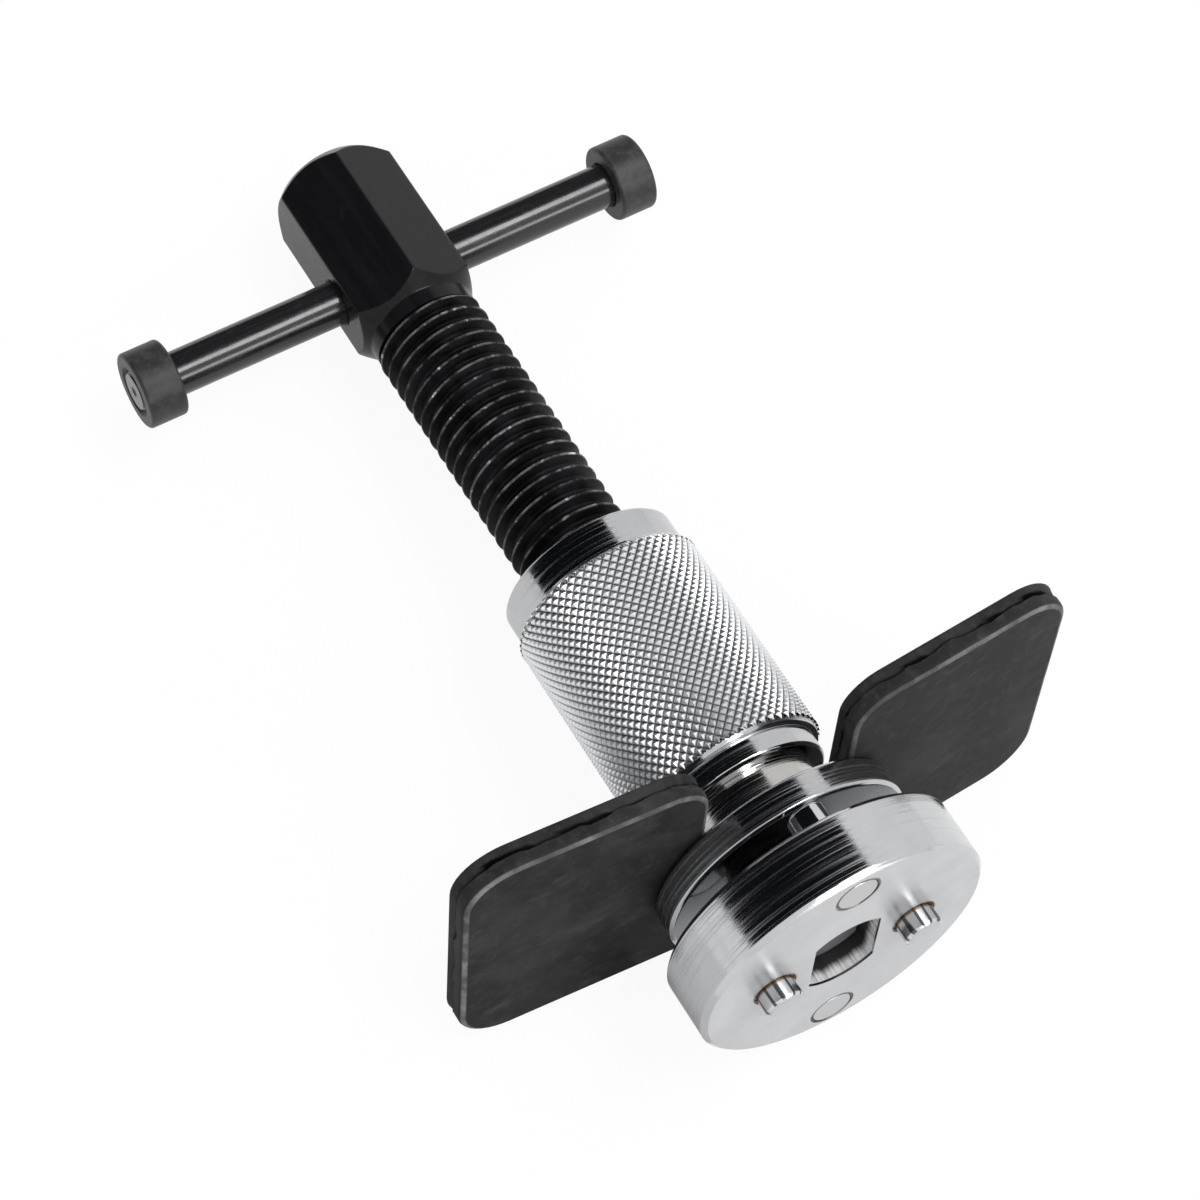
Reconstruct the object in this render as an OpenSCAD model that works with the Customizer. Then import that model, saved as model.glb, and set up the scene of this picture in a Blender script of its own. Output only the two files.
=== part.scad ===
// Brake caliper piston tool: a T-handled thrust screw, a knurled nut, a slotted reaction plate
// and a two-sided pin adapter.
// The tool's axis is Y. The origin is on that axis, in the adapter's front face.
// -Y points at the piston, +Y at the T-handle, X along the plate and Z up.

/* [Adapter] */
// Diameter of the adapter disc
adapter_d = 46; // [42:0.5:54]
// Thickness of the adapter disc
adapter_t = 10.5; // [9:0.5:14]
// Chamfer round both rims of the disc
adapter_chamfer = 0.8; // [0.3:0.1:1.5]
// Diameter of all four drive pins where they stand out
pin_d = 6; // [5:0.1:6.2]
// Diameter of the pins' shanks, which are pressed into the disc
shank_d = 6.4; // [6.3:0.1:7]
// Distance between the two front pins
front_pin_span = 22.8; // [22.4:0.1:25]
// How far the front pins stand out
front_pin_reach = 3.2; // [2:0.1:5]
// Distance between the two rear pins
rear_pin_span = 36; // [34.5:0.5:36.5]
// How far the rear pins stand out
rear_pin_reach = 3.6; // [2:0.1:3.8]

/* [Thrust screw] */
// Outer diameter of the thread
thread_d = 18; // [16:0.5:18]
// Distance from one turn of the thread to the next
thread_pitch = 2.5; // [2:0.5:3]
// Depth of the thread
thread_depth = 1.35; // [1:0.05:1.4]
// Round part of the nose that drives the adapter
tang_d = 15.2; // [13:0.1:15.2]
// Distance across the nose's two flats
tang_flats = 10.4; // [8:0.1:10.6]
// How far the end of the nose sits below the adapter's front face
tang_recess = 4; // [2:0.5:6]
// Length from the shoulder at the nose to the plain neck
thread_len = 108.8; // [100:0.1:130]
// Length of the plain neck under the head
neck_len = 1.7; // [1:0.1:4]
// Diameter of the plain neck
neck_d = 17.4; // [15:0.1:17.8]
// Head, across its flats
hex_flats = 19; // [18.5:0.5:22]
// Length of the head
head_len = 30; // [26:0.5:40]
// Chamfer at the head's far end, measured along the axis
head_end_chamfer = 2.6; // [1:0.1:3.5]
// Chamfer at the head's near end, measured along the axis
head_near_chamfer = 2.8; // [1:0.1:3.5]

/* [T-bar] */
// Diameter of the bar
bar_d = 7; // [5:0.1:8]
// Length of the bar over both caps
bar_len = 88; // [70:1:120]
// Distance of the bar's axis from the head's near end
bar_from_head = 9.4; // [7.5:0.1:20]
// Diameter of the end caps
cap_d = 12.2; // [10:0.1:16]
// Length of the end caps
cap_len = 6.2; // [4:0.1:10]

/* [Knurled nut] */
// Gap from the adapter to the nut's flange, as photographed
feed_gap = 4.2; // [4.2:0.1:40]
// Diameter of the flange that carries the plate
flange_d = 38.5; // [34:0.5:42]
// Thickness of the flange
flange_t = 4.8; // [3:0.1:8]
// Diameter of the groove that the plate hangs in
groove_d = 22; // [20.5:0.1:24]
// Width of that groove
groove_w = 7; // [5.5:0.1:9]
// Diameter of the plain ring behind the groove
ring_d = 27; // [25:0.1:29]
// Width of the ring
ring_w = 3.5; // [2:0.1:6]
// Diameter over the knurl
knurl_d = 30; // [29:0.1:34]
// Length of the knurl
knurl_len = 35.5; // [25:0.5:42]
// Diameter of the plain rear collar
collar_d = 28; // [24:0.1:28.5]
// Length of the rear collar
collar_len = 5.5; // [3:0.5:7]

/* [Reaction plate] */
// Length of the plate
plate_len = 97; // [80:1:120]
// Thickness of the plate, measured along the tool's axis
plate_t = 4.3; // [3:0.1:5]
// Angle at which both wings lean back towards the handle
plate_sweep = 3.7; // [0:0.1:6]
// Height of the plate above the tool's axis
plate_up = 27; // [22:0.5:34]
// Depth of the plate below the tool's axis
plate_down = 21.5; // [18:0.5:22]
// Radius of the plate's outer corners
plate_corner = 8; // [2:0.5:14]
// Radius of the corners at the slot's mouth
mouth_corner = 6; // [2:0.5:9]

/* [Hidden] */
$fn = 96;
// Radial clearance of the parts that turn or slide in one another
running_fit = 0.05;
// Clearance of the adapter's socket round the nose
socket_fit = 0.1;
// Clearance of the plate's slot round the nut's groove
slot_fit = 0.5;
// Space between faces that press on one another in use
seat_gap = 0.3;
// Width of the plate's flat middle beyond the slot, on each side
middle_margin = 0.5;
// Small chamfer on turned edges
edge = 0.5;
// Extra length of cutting tools
past = 1;
// Sine of 60 degrees, from a hexagon's flats to its corners
hex_sine = sqrt(3)/2;

// Places along the axis
shoulder_y = adapter_t + seat_gap;
neck_y = shoulder_y + thread_len;
head_y = neck_y + neck_len;
bar_y = head_y + bar_from_head;
flange_y = adapter_t + feed_gap;
groove_y = flange_y + flange_t;
ring_y = groove_y + groove_w;
knurl_y = ring_y + ring_w;
collar_y = knurl_y + knurl_len;
nut_end_y = collar_y + collar_len;
plate_y = groove_y + seat_gap;

hex_corner_r = hex_flats/hex_sine/2;
slot_r = groove_d/2 + slot_fit;

// Section of the thread: flanks at 60 degrees to one another, a narrow crest and a wider root
crest_r = thread_d/2;
root_r = crest_r - thread_depth;
flank_w = thread_depth*tan(30);
crest_w = thread_pitch/8;
first_crest_y = shoulder_y + edge;
runout = abs(neck_d/2 - root_r);
thread_turns = floor((neck_y - runout - flank_w - crest_w - first_crest_y)/thread_pitch);

// A solid turned about the tool's axis, from points of [radius, place along the axis]
module turned(profile) {
    rotate([-90, 0, 0]) rotate_extrude() polygon(profile);
}

// A plain rod along the tool's axis
module rod(d, from, to) {
    turned([[0, from], [d/2, from], [d/2, to], [0, to]]);
}

// A round bar along X whose two ends are chamfered
module cross_rod(d, from, to, chamfer) {
    translate([from, 0, 0])
        rotate([0, 90, 0])
            rotate_extrude()
                polygon([[0, 0], [d/2 - chamfer, 0], [d/2, chamfer], [d/2, to - from - chamfer],
                         [d/2 - chamfer, to - from], [0, to - from]]);
}

// A round bar with two flats that face left and right
module two_flat_bar(d, flats, from, to) {
    intersection() {
        rod(d, from, to);
        translate([-flats/2, from - past, -d]) cube([flats, to - from + 2*past, 2*d]);
    }
}

// One ridge of the thread, from the root before its crest to the root after it
function ridge(crest_y) = [[root_r, crest_y - flank_w], [crest_r, crest_y], [crest_r, crest_y + crest_w],
                           [root_r, crest_y + crest_w + flank_w]];

// The threaded length and the neck. Rings of the thread's section stand for its turns, and the first one is
// turned down to a chamfered shoulder.
module threaded_shaft() {
    turned([[0, shoulder_y], [crest_r - edge, shoulder_y], [crest_r, first_crest_y],
            [crest_r, first_crest_y + crest_w], [root_r, first_crest_y + crest_w + flank_w],
            for (turn = [1 : thread_turns]) each ridge(first_crest_y + turn*thread_pitch),
            [root_r, neck_y - runout], [neck_d/2, neck_y], [neck_d/2, head_y + past], [0, head_y + past]]);
}

// The head: a hexagon with one corner up, its corners turned off at both ends
module hex_head() {
    end_y = head_y + head_len;
    slope = (hex_corner_r - neck_d/2)/head_near_chamfer;
    intersection() {
        translate([0, head_y, 0])
            rotate([-90, 0, 0]) rotate([0, 0, 30]) cylinder(r = hex_corner_r, h = head_len, $fn = 6);
        turned([[0, head_y], [neck_d/2, head_y],
                [neck_d/2 + slope*(head_near_chamfer + past), head_y + head_near_chamfer + past],
                [hex_corner_r + past, end_y - head_end_chamfer - past],
                [hex_corner_r - head_end_chamfer, end_y], [0, end_y]]);
    }
}

// One pin of the adapter: a shank pressed through the disc, a shoulder in the face that it stands out of,
// and a slimmer stud with a chamfered tip
module drive_pin(x, z, flush_y, face_y, tip_y) {
    out = sign(tip_y - face_y);
    points = [[0, flush_y], [shank_d/2, flush_y], [shank_d/2, face_y], [pin_d/2, face_y],
              [pin_d/2, tip_y - out*edge], [pin_d/2 - edge, tip_y], [0, tip_y]];
    color("silver") translate([x, 0, z]) turned(points);
}

// The waste of a rounded corner that points at the origin from the first quadrant
module corner_waste(r) {
    difference() {
        translate([-past, -past]) square(r + past);
        translate([r, r]) circle(r);
    }
}

module thrust_screw() {
    color("#1c1c1e")
        difference() {
            union() {
                two_flat_bar(tang_d, tang_flats, tang_recess, shoulder_y + past);
                threaded_shaft();
                hex_head();
            }
            translate([0, bar_y, 0])
                cross_rod(bar_d + 2*running_fit, -hex_flats, hex_flats, 0);
        }
}

module t_bar() {
    color("#222224") translate([0, bar_y, 0]) cross_rod(bar_d, -bar_len/2, bar_len/2, edge);
}

// A cap pressed on one end of the bar; side is -1 for the left and 1 for the right
module bar_cap(side) {
    middle = side*(bar_len - cap_len)/2;
    color("#1a1a1a")
        translate([0, bar_y, 0])
            difference() {
                cross_rod(cap_d, middle - cap_len/2, middle + cap_len/2, edge);
                cross_rod(bar_d, middle - cap_len, middle + cap_len, 0);
            }
}

module bar_cap_left() { bar_cap(-1); }

module bar_cap_right() { bar_cap(1); }

module knurled_nut() {
    bore = thread_d/2 + running_fit;
    flange = flange_d/2;
    ring = ring_d/2;
    knurl = knurl_d/2;
    collar = collar_d/2;
    color("silver")
        turned([[bore + edge, flange_y], [flange - edge, flange_y], [flange, flange_y + edge],
                [flange, groove_y - edge], [flange - edge, groove_y], [groove_d/2, groove_y],
                [groove_d/2, ring_y], [ring - edge, ring_y], [ring, ring_y + edge], [ring, knurl_y],
                [knurl - edge, knurl_y], [knurl, knurl_y + edge], [knurl, collar_y - edge],
                [knurl - edge, collar_y], [collar, collar_y], [collar, nut_end_y - edge],
                [collar - edge, nut_end_y], [bore + edge, nut_end_y], [bore, nut_end_y - edge],
                [bore, flange_y + edge]]);
}

// Outline of the plate in X and Z: rounded corners and a slot that opens upwards
module plate_outline() {
    half = plate_len/2;
    difference() {
        translate([-half, -plate_down]) square([plate_len, plate_up + plate_down]);
        circle(slot_r);
        translate([-slot_r, 0]) square([2*slot_r, plate_up + past]);
        for (side = [0, 1])
            mirror([side, 0]) {
                translate([-half, -plate_down]) corner_waste(plate_corner);
                translate([-half, plate_up]) mirror([0, 1]) corner_waste(plate_corner);
                translate([-slot_r, plate_up]) mirror([1, 0]) mirror([0, 1]) corner_waste(mouth_corner);
            }
    }
}

// The plate seen from above in X and Y: a flat middle and two wings that lean back
module plate_plan() {
    half = plate_len/2 + past;
    middle = slot_r + middle_margin;
    lean = (half - middle)*tan(plate_sweep);
    polygon([[-half, lean], [-middle, 0], [middle, 0], [half, lean],
             [half, lean + plate_t], [middle, plate_t], [-middle, plate_t], [-half, lean + plate_t]]);
}

module reaction_plate() {
    depth = plate_len;
    color("#2a2a2a")
        intersection() {
            translate([0, plate_y + depth/2, 0]) rotate([90, 0, 0]) linear_extrude(depth) plate_outline();
            translate([0, plate_y, -plate_down - past])
                linear_extrude(plate_up + plate_down + 2*past) plate_plan();
        }
}

module adapter_disc() {
    r = adapter_d/2;
    color("silver")
        difference() {
            turned([[0, 0], [r - adapter_chamfer, 0], [r, adapter_chamfer], [r, adapter_t - adapter_chamfer],
                    [r - adapter_chamfer, adapter_t], [0, adapter_t]]);
            two_flat_bar(tang_d + 2*socket_fit, tang_flats + 2*socket_fit, -past, adapter_t + past);
            for (side = [-1, 1]) {
                translate([side*front_pin_span/2, 0, 0]) rod(shank_d, -past, adapter_t + past);
                translate([0, 0, side*rear_pin_span/2]) rod(shank_d, -past, adapter_t + past);
            }
        }
}

module front_pin_left() { drive_pin(-front_pin_span/2, 0, adapter_t, 0, -front_pin_reach); }

module front_pin_right() { drive_pin(front_pin_span/2, 0, adapter_t, 0, -front_pin_reach); }

module rear_pin_top() { drive_pin(0, rear_pin_span/2, 0, adapter_t, adapter_t + rear_pin_reach); }

module rear_pin_bottom() { drive_pin(0, -rear_pin_span/2, 0, adapter_t, adapter_t + rear_pin_reach); }

thrust_screw();
t_bar();
bar_cap_left();
bar_cap_right();
knurled_nut();
reaction_plate();
adapter_disc();
front_pin_left();
front_pin_right();
rear_pin_top();
rear_pin_bottom();
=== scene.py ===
"""Brake caliper piston tool: its visible pieces, their finishes and the stage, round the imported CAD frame.

Lengths are in metres. The tool's axis is Y: -Y points at the piston and +Y at the T-handle.
"""

import math

import bmesh
import bpy
from bpy.props import FloatProperty, FloatVectorProperty, IntProperty, PointerProperty
from mathutils import Matrix, Vector, noise


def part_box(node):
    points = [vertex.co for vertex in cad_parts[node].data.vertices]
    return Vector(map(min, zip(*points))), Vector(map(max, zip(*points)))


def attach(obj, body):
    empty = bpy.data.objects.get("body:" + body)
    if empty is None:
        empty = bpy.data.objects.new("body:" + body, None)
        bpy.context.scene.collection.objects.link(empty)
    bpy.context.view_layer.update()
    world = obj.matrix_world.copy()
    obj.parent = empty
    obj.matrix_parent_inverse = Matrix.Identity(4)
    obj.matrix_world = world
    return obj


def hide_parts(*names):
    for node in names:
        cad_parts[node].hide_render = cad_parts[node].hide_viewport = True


bl_info = {
    "name": "Brake caliper piston tool",
    "version": (1, 0, 0),
    "blender": (4, 5, 0),
    "location": "View3D > Sidebar > Piston Tool",
    "description": "Thrust screw, T-handle, knurled nut, reaction plate and pin adapter of a piston tool",
    "category": "Add Mesh",
}

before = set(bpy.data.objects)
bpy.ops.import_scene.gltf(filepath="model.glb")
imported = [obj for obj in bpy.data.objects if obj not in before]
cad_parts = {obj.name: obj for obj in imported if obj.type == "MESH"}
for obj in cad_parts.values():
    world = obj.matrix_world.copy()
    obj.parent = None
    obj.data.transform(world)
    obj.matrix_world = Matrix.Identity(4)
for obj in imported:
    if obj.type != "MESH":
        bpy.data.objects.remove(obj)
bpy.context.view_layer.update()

SCREW_LOW, SCREW_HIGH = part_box("thrust_screw")
BAR_LOW, BAR_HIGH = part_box("t_bar")
CAP_LOW, CAP_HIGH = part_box("bar_cap_right")
NUT_LOW, NUT_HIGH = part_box("knurled_nut")
PLATE_LOW, PLATE_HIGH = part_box("reaction_plate")
DISC_LOW, DISC_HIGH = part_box("adapter_disc")
FRONT_PIN_LOW, FRONT_PIN_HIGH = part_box("front_pin_right")
REAR_PIN_LOW, REAR_PIN_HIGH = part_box("rear_pin_top")
SHANK = (FRONT_PIN_HIGH.x - FRONT_PIN_LOW.x)/2
BAR_CENTRE = Vector((0, (BAR_LOW.y + BAR_HIGH.y)/2, 0))

MM = 0.001
AXIS = Vector((0, 1, 0))
ORIGIN = Vector((0, 0, 0))
SIDEWAYS = Vector((1, 0, 0))
FULL_TURN = 2*math.pi
MERGE = 1e-6

# Angle over which shading breaks, and angle over which an edge is one to be rounded
SHARP = math.radians(35)
EDGE_ANGLE = math.radians(18)

# Small radii that break the sharp edges of the pieces
NOSE_BREAK = 0.4*MM
BAR_BREAK = 0.12*MM
NUT_BREAK = 0.13*MM
DISC_BREAK = 0.14*MM
PIN_BREAK = 0.16*MM

# Colour of the dirt in the seams round the pressed pins
SEAM_DIRT = (0.03, 0.024, 0.018)


# Properties

def length(name, description, default):
    """A length in metres that a user may change."""
    return FloatProperty(name=name, description=description, default=default, min=0, precision=5,
                         unit="LENGTH", subtype="DISTANCE")


def angle(name, description, degrees):
    """An angle that a user may change."""
    return FloatProperty(name=name, description=description, default=math.radians(degrees),
                         subtype="ANGLE", unit="ROTATION")


def colour(name, description, default):
    """A colour that a user may change."""
    return FloatVectorProperty(name=name, description=description, default=default, size=3,
                               min=0, max=1, subtype="COLOR")


class ScrewSizes(bpy.types.PropertyGroup):
    """Sizes and colour of the thrust screw."""
    thread_radius: length("Thread radius", "Radius over the thread's crests", 9*MM)
    pitch: length("Pitch", "Distance from one turn of the thread to the next", 2.5*MM)
    thread_depth: length("Thread depth", "Height of the thread from root to crest", 1.35*MM)
    shoulder: length("Shoulder", "Place of the shoulder behind the adapter", 10.8*MM)
    neck: length("Neck", "Place where the thread ends under the head", 119.6*MM)
    neck_radius: length("Neck radius", "Radius of the plain neck", 8.7*MM)
    head: length("Head", "Place where the head begins", 121.3*MM)
    near_chamfer: length("Near chamfer", "Length of the cone at the head's near end", 2.8*MM)
    end_chamfer: length("End chamfer", "Length of the cone at the head's far end", 2.6*MM)
    nose_radius: length("Nose radius", "Radius of the nose's round parts", 7.6*MM)
    nose_flat: length("Nose flat", "Distance of the nose's flats from the axis", 5.2*MM)
    corner_round: length("Corner round", "Rounding of the head's edges", 0.28*MM)
    oxide: colour("Oxide", "Colour of the oiled black oxide", (0.0055, 0.0055, 0.0063))


class HandleSizes(bpy.types.PropertyGroup):
    """Sizes and colours of the T-bar and its caps."""
    ring_groove: length("Ring groove", "Depth of the groove between a cap and the bar's end", 0.75*MM)
    cap_round: length("Cap round", "Rounding of the caps' rims", 0.55*MM)
    centre_mark: length("Centre mark", "Radius of the centre mark in the bar's ends", 0.9*MM)
    bar_oxide: colour("Bar oxide", "Colour of the bar's satin black oxide", (0.011, 0.011, 0.012))
    cap_oxide: colour("Cap oxide", "Colour of the caps' matt black oxide", (0.023, 0.023, 0.0235))


class NutSizes(bpy.types.PropertyGroup):
    """Sizes and colour of the knurled nut."""
    bore: length("Bore", "Radius of the bore", 9.05*MM)
    flange_end: length("Flange end", "Place where the groove begins", 19.5*MM)
    groove: length("Groove", "Radius of the groove that holds the plate", 11*MM)
    groove_end: length("Groove end", "Place where the groove ends", 26.5*MM)
    ring: length("Ring", "Radius of the plain ring", 13.5*MM)
    knurl_start: length("Knurl start", "Place where the knurl begins", 30*MM)
    knurl_end: length("Knurl end", "Place where the knurl ends", 65.5*MM)
    knurl: length("Knurl", "Radius over the knurl", 15*MM)
    knurl_depth: length("Knurl depth", "Height of the diamonds", 0.48*MM)
    knurl_row: length("Knurl row", "Length of a diamond along the axis", 1.66*MM)
    starts: IntProperty(name="Starts", description="Diamonds round the nut", default=60, min=12)
    collar: length("Collar", "Radius of the plain rear collar", 14*MM)
    edge: length("Edge", "Chamfer of the turned edges", 0.5*MM)
    plating: colour("Plating", "Colour of the bright plating", (0.49, 0.495, 0.507))


class PlateSizes(bpy.types.PropertyGroup):
    """Sizes and colour of the reaction plate."""
    thickness: length("Thickness", "Thickness of the plate", 4.3*MM)
    slot: length("Slot", "Half the width of the slot", 11.5*MM)
    corner: length("Corner", "Radius of the outer corners", 8*MM)
    mouth: length("Mouth", "Radius of the corners at the slot's mouth", 6*MM)
    front_roll: length("Front roll", "Rounding of the front rim, which the punch drew in", 0.95*MM)
    back_roll: length("Back roll", "Rounding of the back rim", 0.45*MM)
    tear: length("Tear", "Depth of the torn line along the middle of the edge", 0.5*MM)
    bend: length("Bend", "Distance from the axis at which the wings bend back", 12*MM)
    sweep: angle("Sweep", "Angle at which the wings lean back", 3.7)
    oxide: colour("Oxide", "Colour of the plate's dull black oxide", (0.027, 0.027, 0.0279))


class AdapterSizes(bpy.types.PropertyGroup):
    """Sizes and colours of the pin adapter."""
    chamfer: length("Chamfer", "Chamfer of the disc's rims", 0.8*MM)
    socket_radius: length("Socket radius", "Radius of the socket's round parts", 7.7*MM)
    socket_flat: length("Socket flat", "Distance of the socket's flats from the axis", 5.3*MM)
    stud: length("Stud", "Radius of the pins where they stand out of the disc", 3*MM)
    seam: length("Seam", "Width of the fine groove round a pressed shank", 0.16*MM)
    tip: length("Tip", "Chamfer of the pins' tips", 0.5*MM)
    plating: colour("Plating", "Colour of the bright plating", (0.55, 0.555, 0.565))
    stain: colour("Stain", "Colour of the stain round the pins", (0.17, 0.085, 0.03))


class StageLook(bpy.types.PropertyGroup):
    """The camera and floor."""
    azimuth: angle("Azimuth", "Turn of the camera round the tool", -34.74)
    elevation: angle("Elevation", "Height of the camera over the horizon", 58.9)
    roll: angle("Roll", "Turn of the camera about its own line of sight", 5.15)
    distance: length("Distance", "Distance of the camera from its target", 553*MM)
    lens: FloatProperty(name="Lens", description="Focal length in millimetres", default=113.3, min=1)
    floor: colour("Floor", "Colour of the floor", (0.86, 0.86, 0.86))


# Shader nodes

class Value:
    """A shader socket that takes part in Python arithmetic. Each operation adds a Math node."""

    def __init__(self, nodes, socket):
        self.nodes = nodes
        self.socket = socket

    def math(self, operation, first, second=0.0):
        return self.nodes.add("ShaderNodeMath", {"operation": operation}, {0: first, 1: second})

    def __add__(self, other):
        return self.math("ADD", self, other)

    def __sub__(self, other):
        return self.math("SUBTRACT", self, other)

    def __rsub__(self, other):
        return self.math("SUBTRACT", other, self)

    def __mul__(self, other):
        return self.math("MULTIPLY", self, other)

    def __pow__(self, other):
        return self.math("POWER", self, other)

    def __abs__(self):
        return self.math("ABSOLUTE", self)

    __radd__ = __add__
    __rmul__ = __mul__

    def step(self, low, high):
        """0 below low, 1 above high and a smooth rise between them."""
        settings = {"interpolation_type": "SMOOTHSTEP"}
        return self.nodes.add("ShaderNodeMapRange", settings, {0: self, 1: low, 2: high})


class Nodes:
    """A node tree, and the one method that adds nodes to it."""

    def __init__(self, tree):
        self.tree = tree

    def add(self, kind, settings=None, inputs=None, output=0):
        """A new node: its type, its settings, the values or links of its sockets, and the outputs wanted."""
        node = self.tree.nodes.new(kind)
        for key, value in (settings or {}).items():
            setattr(node, key, value)
        self.feed(node, inputs or {})
        if isinstance(output, tuple):
            return [Value(self, node.outputs[name]) for name in output]
        return Value(self, node.outputs[output])

    def feed(self, node, inputs):
        """Sets or links a node's sockets."""
        for key, value in inputs.items():
            if isinstance(value, Value):
                self.tree.links.new(value.socket, node.inputs[key])
            else:
                node.inputs[key].default_value = value


class Coat(Nodes):
    """A material and its shader."""

    def __init__(self, name):
        self.material = bpy.data.materials.new(name)
        self.material.use_nodes = True
        super().__init__(self.material.node_tree)
        self.shader = self.tree.nodes["Principled BSDF"]

    def surface(self, values):
        """Feeds the shader's sockets and gives the material."""
        self.feed(self.shader, values)
        return self.material


class Finish(Coat):
    """A material whose nodes follow Object coordinates."""

    def __init__(self, name):
        super().__init__(name)
        self.place = self.add("ShaderNodeTexCoord", output="Object")
        self.x, self.y, self.z = self.add("ShaderNodeSeparateXYZ", None, {0: self.place}, ("X", "Y", "Z"))

    def noise(self, scale, detail=3.0, rough=0.5, stretch=None, seed=0.0):
        """Noise between 0 and 1, with scale in cells to the metre, stretched along the axes if asked."""
        place = self.place
        if stretch or seed:
            place = self.add("ShaderNodeMapping", None,
                             {0: place, 1: (seed, seed, seed), 3: stretch or (1, 1, 1)})
        return self.add("ShaderNodeTexNoise", None,
                        {"Vector": place, "Scale": scale, "Detail": detail, "Roughness": rough})

    def mix(self, factor, first, second):
        """A colour between two colours."""
        first = first if isinstance(first, Value) else (*first, 1.0)
        second = second if isinstance(second, Value) else (*second, 1.0)
        return self.add("ShaderNodeMix", {"data_type": "RGBA"}, {0: factor, 6: first, 7: second}, 2)

    def coated(self, tone, rough, height, strength, depth, others):
        """The material, from its tone, roughness, bump (height, strength and depth) and other sockets."""
        bump = self.add("ShaderNodeBump", None, {"Strength": strength, "Distance": depth, "Height": height})
        return self.surface({"Base Color": tone, "Roughness": rough, "Normal": bump, **others})

    def attribute(self, name):
        """A number that the mesh holds at each vertex."""
        return self.add("ShaderNodeAttribute", {"attribute_name": name}, output="Fac")

    def radius(self, x=0.0, z=0.0):
        """Distance from a line along Y through x and z."""
        across = self.x - x
        up = self.z - z
        return (across*across + up*up)**0.5

    def between(self, low, high, soft):
        """1 between two places along Y and 0 outside them, with soft ends."""
        return self.y.step(low, low + soft)*(1 - self.y.step(high - soft, high))


def shade(base, share):
    """A colour made lighter or darker by a share."""
    return tuple(min(1.0, part*share) for part in base)


def oiled_oxide(base):
    """Black oxide under thin oil on the head, neck and nose: faint drawn lines and fine mottle, and on the
    nose a paler grey that is partly wear and partly painted light.
    """
    finish = Finish("oiled_black_oxide")
    drawn = finish.noise(1.0, 4.0, 0.6, (700, 40, 700))
    mottle = finish.noise(420, 4.0, 0.65)
    grit = finish.noise(2600, 2.0, 0.5)
    nose = 1 - finish.y.step(8*MM, 9*MM)
    tone = finish.mix(drawn.step(0.35, 0.75), base, shade(base, 1.5))
    tone = finish.mix(mottle.step(0.58, 0.82)*0.5, tone, shade(base, 2.8))
    # Painted light: the nose is painted a paler grey, partly wear, partly standing in for light that hardly
    # reaches it in the socket
    tone = finish.mix(nose, tone, finish.mix(mottle, (0.07, 0.07, 0.074), (0.17, 0.17, 0.177)))
    rough = 0.24 + (drawn - 0.5)*0.12 + (mottle - 0.5)*0.16 + nose*0.2
    height = drawn*0.45 + grit*0.3 + mottle*0.4
    return finish.coated(tone, rough, height, 0.2, 0.05*MM, {"Specular IOR Level": 0.17})


def thread_wear_and_sheen(base, radius):
    """Black oxide on the thread: dark flanks under uneven oil, crests painted pale (partly wear, partly a
    painted highlight), and bright flecks that are painted glints.
    """
    finish = Finish("thread_oxide_wear_and_sheen")
    mottle = finish.noise(420, 4.0, 0.65)
    grit = finish.noise(2600, 2.0, 0.5)
    crest = finish.radius().step(radius - 0.2*MM, radius - 0.07*MM)
    wear_and_sheen = finish.noise(240, 5.0, 0.7, seed=3.7).step(0.4, 0.66)
    glint = finish.noise(520, 3.0, 0.6, seed=8.1).step(0.58, 0.68)
    film = finish.noise(150, 4.0, 0.65, seed=1.9).step(0.4, 0.68)
    tone = finish.mix(film, shade(base, 0.4), shade(base, 2.0))
    # Painted highlight: the crests are painted pale, partly worn metal and partly standing in for the thin
    # highlights along them
    tone = finish.mix(crest*(0.05 + wear_and_sheen*0.95), tone, (0.12, 0.12, 0.124))
    # Painted glints: bright flecks on the pale crests
    tone = finish.mix(crest*glint*wear_and_sheen, tone, (0.62, 0.62, 0.63))
    rough = 0.46 - crest*0.2 - film*0.12 + (mottle - 0.5)*0.16
    height = grit*0.3 + mottle*0.4
    return finish.coated(tone, rough, height, 0.2, 0.05*MM, {"Specular IOR Level": 0.06})


def satin_oxide(base):
    """Black oxide on the drawn bar: fine lines along it and short pale rubs."""
    finish = Finish("satin_black_oxide")
    drawn = finish.noise(1.0, 4.0, 0.6, (70, 2600, 2600))
    rubs = finish.noise(1.0, 4.0, 0.65, (220, 900, 900), 1.3)
    mottle = finish.noise(900, 4.0, 0.65)
    tone = finish.mix(drawn.step(0.4, 0.8), base, shade(base, 1.9))
    tone = finish.mix(rubs.step(0.58, 0.8)*0.5, tone, (0.06, 0.06, 0.062))
    rough = 0.17 + (drawn - 0.5)*0.2 + (mottle - 0.5)*0.2
    height = drawn + mottle*0.5
    return finish.coated(tone, rough, height, 0.18, 0.04*MM, {"Specular IOR Level": 0.55})


def matt_oxide(base):
    """Black oxide on the caps: turned lines round them, matt and mottled."""
    finish = Finish("matt_black_oxide")
    turned_lines = finish.noise(1.0, 3.0, 0.6, (4200, 120, 120))
    mottle = finish.noise(520, 4.0, 0.7)
    grit = finish.noise(3200, 2.0, 0.5)
    tone = finish.mix(mottle.step(0.4, 0.75), base, shade(base, 2.1))
    tone = finish.mix(turned_lines.step(0.62, 0.85)*0.4, tone, shade(base, 3.2))
    rough = 0.44 + (mottle - 0.5)*0.24 + (turned_lines - 0.5)*0.12
    height = turned_lines*0.5 + grit*0.7 + mottle*0.5
    return finish.coated(tone, rough, height, 0.4, 0.05*MM, {"Specular IOR Level": 0.32})


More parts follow.
